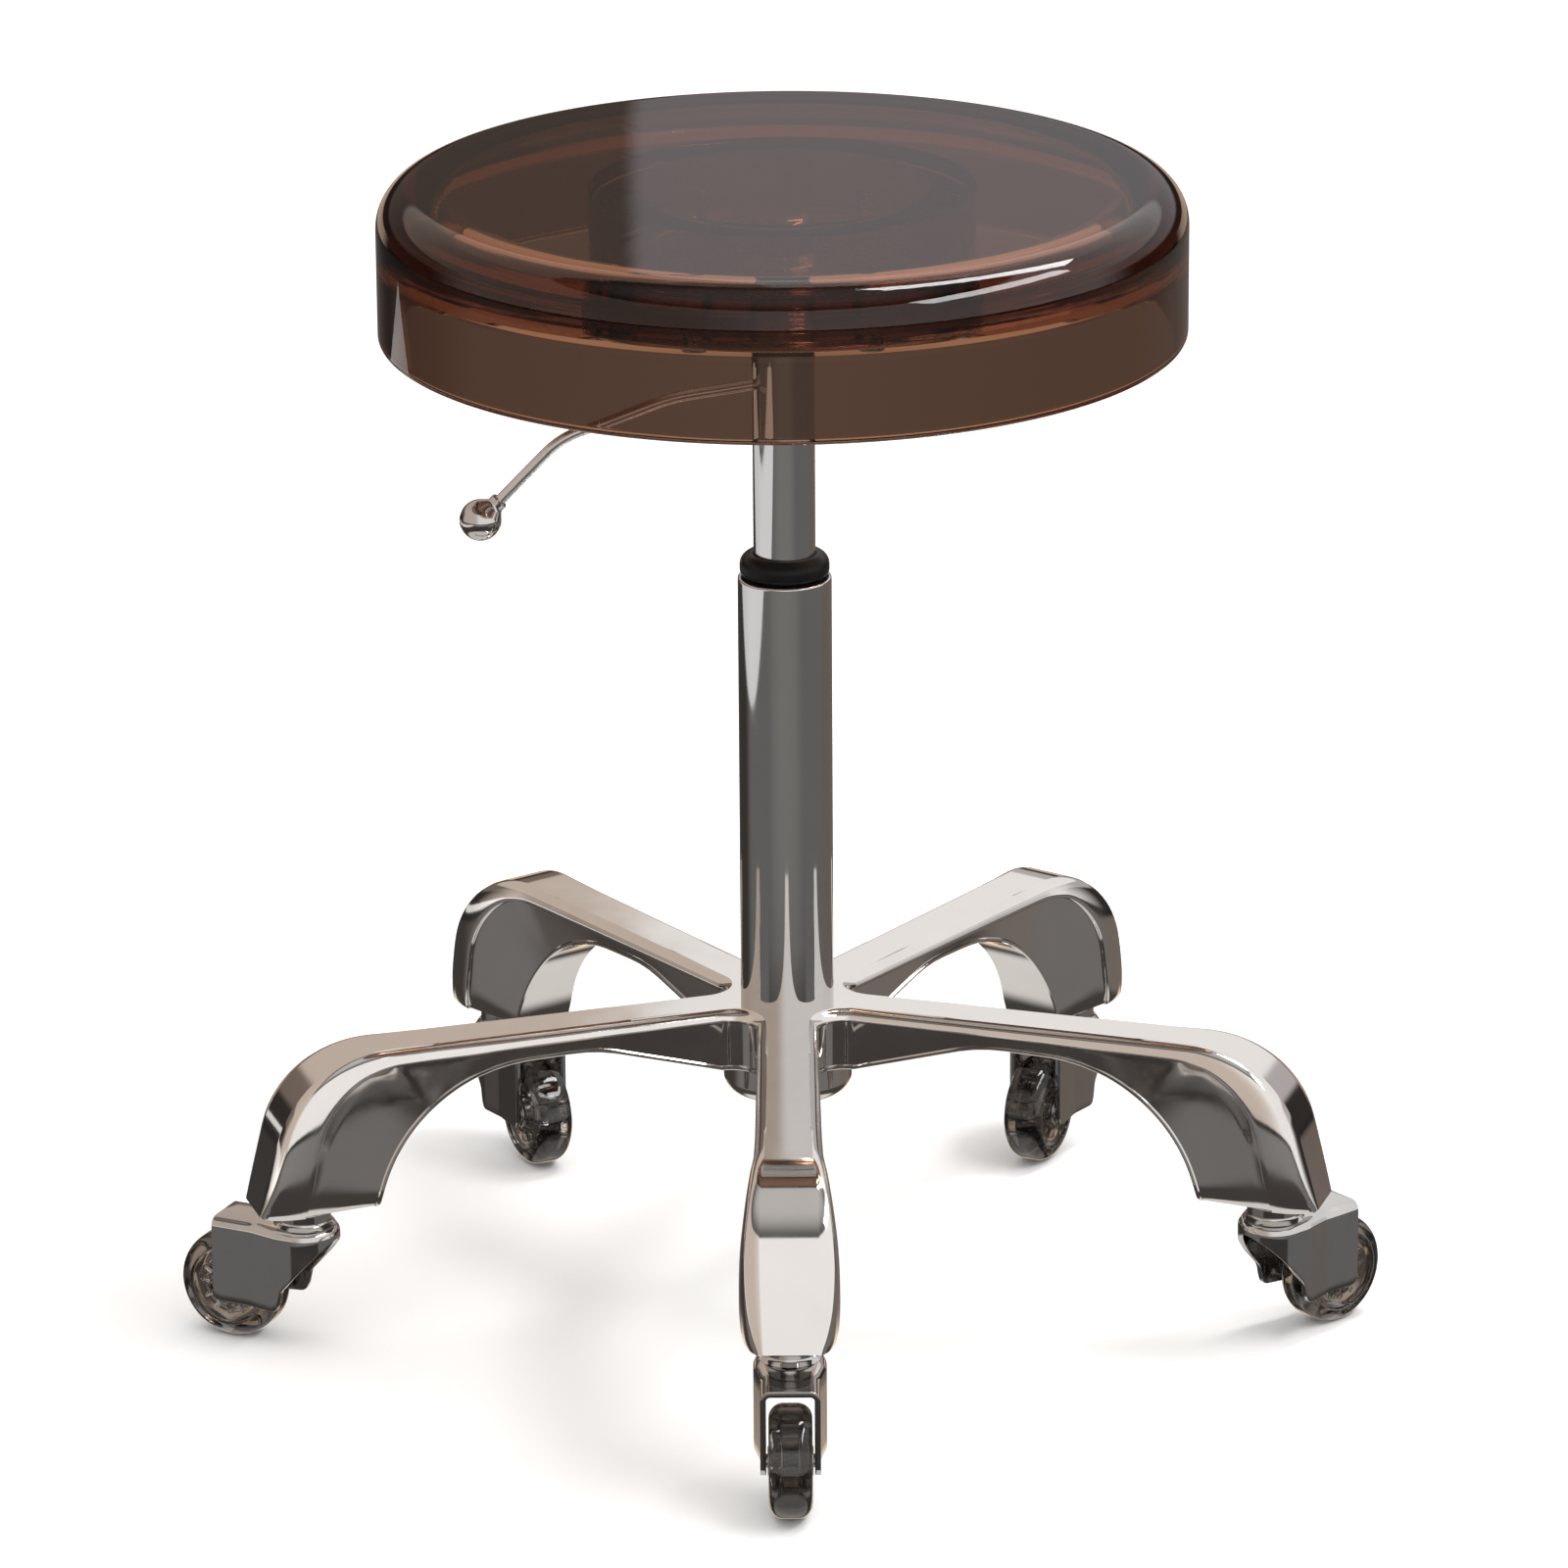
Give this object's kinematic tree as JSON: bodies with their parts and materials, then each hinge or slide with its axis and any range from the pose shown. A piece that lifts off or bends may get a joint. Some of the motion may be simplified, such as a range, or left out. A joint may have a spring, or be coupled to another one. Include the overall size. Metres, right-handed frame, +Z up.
{
  "type": "rolling stool",
  "caption": "Round rolling stool with a tinted clear seat shell, a gas-lift column with a hand lever, and a polished star base on swivel casters.",
  "frame": {"origin": "on the column's axis at floor level", "axes": "+Z up, -Y towards the front arm, +X to the right seen from the front"},
  "size_m": [0.5452, 0.5047, 0.523],
  "materials": {
    "tinted_plastic": "clear, tinted brown, polished",
    "chrome": "mirror",
    "polished_aluminium": "polished",
    "black_rubber": "satin",
    "guide_plastic": "matt",
    "steel": "turned",
    "smoky_tyre": "clear, smoky, glossy",
    "smoky_core": "clear, smoky, glossy"
  },
  "bodies": {
    "base": {"star_base": "polished_aluminium", "column_tube": "chrome", "guide_bush": "guide_plastic", "wiper_ring": "black_rubber", "column_plug": "steel", "lower_race": "steel", "bearing_cage": "guide_plastic", "thrust_balls": "steel", "caster_stems": "steel", "swivel_washers": "steel"},
    "spindle": {"piston_rod": "steel", "piston": "guide_plastic", "piston_nut": "steel", "upper_race": "steel", "bump_stop": "black_rubber", "rod_clip": "steel"},
    "seat": {"seat_shell": "tinted_plastic", "seat_ring": "tinted_plastic", "mount_plate": "chrome", "plate_screws": "steel", "seat_post": "chrome", "post_cap": "chrome", "gas_cylinder": "steel", "cylinder_gland": "guide_plastic", "valve_head": "steel", "lever_pin": "steel"},
    "lever": {"lever_rod": "chrome", "lever_knob": "chrome"},
    "release": {"release_pin": "steel"},
    "fork_1": {"caster_1_fork": "chrome", "caster_1_axle": "steel"},
    "wheel_1": {"caster_1_core": "smoky_core", "caster_1_tyre": "smoky_tyre", "caster_1_bearings": "steel"},
    "fork_2": {"caster_2_fork": "chrome", "caster_2_axle": "steel"},
    "wheel_2": {"caster_2_core": "smoky_core", "caster_2_tyre": "smoky_tyre", "caster_2_bearings": "steel"},
    "fork_3": {"caster_3_fork": "chrome", "caster_3_axle": "steel"},
    "wheel_3": {"caster_3_core": "smoky_core", "caster_3_tyre": "smoky_tyre", "caster_3_bearings": "steel"},
    "fork_4": {"caster_4_fork": "chrome", "caster_4_axle": "steel"},
    "wheel_4": {"caster_4_core": "smoky_core", "caster_4_tyre": "smoky_tyre", "caster_4_bearings": "steel"},
    "fork_5": {"caster_5_fork": "chrome", "caster_5_axle": "steel"},
    "wheel_5": {"caster_5_core": "smoky_core", "caster_5_tyre": "smoky_tyre", "caster_5_bearings": "steel"}
  },
  "joints": [
    {"name": "seat_swivel", "type": "hinge", "parent": "base", "child": "spindle", "pos_m": [0, 0, 0.119], "axis": [0, 0, 1], "continuous": true},
    {"name": "seat_lift", "type": "slide", "parent": "spindle", "child": "seat", "axis": [0, 0, 1], "range_m": [-0.07, 0.06]},
    {"name": "lever_press", "type": "hinge", "parent": "seat", "child": "lever", "pos_m": [-0.009, 0, 0.4315], "axis": [0, 1, 0], "range_deg": [0, 12], "stiffness_Nm_per_rad": 0.6, "springref_deg": -5.73},
    {"name": "release_travel", "type": "slide", "parent": "seat", "child": "release", "axis": [0, 0, -1], "range_m": [0, 0.0019]},
    {"name": "fork_swivel_1", "type": "hinge", "parent": "base", "child": "fork_1", "pos_m": [0, -0.23, 0.06], "axis": [0, 0, 1], "continuous": true},
    {"name": "wheel_roll_1", "type": "hinge", "parent": "fork_1", "child": "wheel_1", "pos_m": [0, -0.266, 0.025], "axis": [1, 0, 0], "continuous": true},
    {"name": "fork_swivel_2", "type": "hinge", "parent": "base", "child": "fork_2", "pos_m": [0.21874, -0.07107, 0.06], "axis": [0, 0, 1], "continuous": true},
    {"name": "wheel_roll_2", "type": "hinge", "parent": "fork_2", "child": "wheel_2", "pos_m": [0.24632, -0.04793, 0.025], "axis": [-0.6428, 0.766, 0], "continuous": true},
    {"name": "fork_swivel_3", "type": "hinge", "parent": "base", "child": "fork_3", "pos_m": [0.13519, 0.18607, 0.06], "axis": [0, 0, 1], "continuous": true},
    {"name": "wheel_roll_3", "type": "hinge", "parent": "fork_3", "child": "wheel_3", "pos_m": [0.11998, 0.15345, 0.025], "axis": [0.9063, -0.4226, 0], "continuous": true},
    {"name": "fork_swivel_4", "type": "hinge", "parent": "base", "child": "fork_4", "pos_m": [-0.13519, 0.18607, 0.06], "axis": [0, 0, 1], "continuous": true},
    {"name": "wheel_roll_4", "type": "hinge", "parent": "fork_4", "child": "wheel_4", "pos_m": [-0.11998, 0.15345, 0.025], "axis": [0.9063, 0.4226, 0], "continuous": true},
    {"name": "fork_swivel_5", "type": "hinge", "parent": "base", "child": "fork_5", "pos_m": [-0.21874, -0.07107, 0.06], "axis": [0, 0, 1], "continuous": true},
    {"name": "wheel_roll_5", "type": "hinge", "parent": "fork_5", "child": "wheel_5", "pos_m": [-0.25137, -0.05586, 0.025], "axis": [-0.4226, -0.9063, 0], "continuous": true}
  ],
  "couplings": [
    {"joint": "release_travel", "follows": "lever_press", "m_per_rad": 0.009}
  ]
}
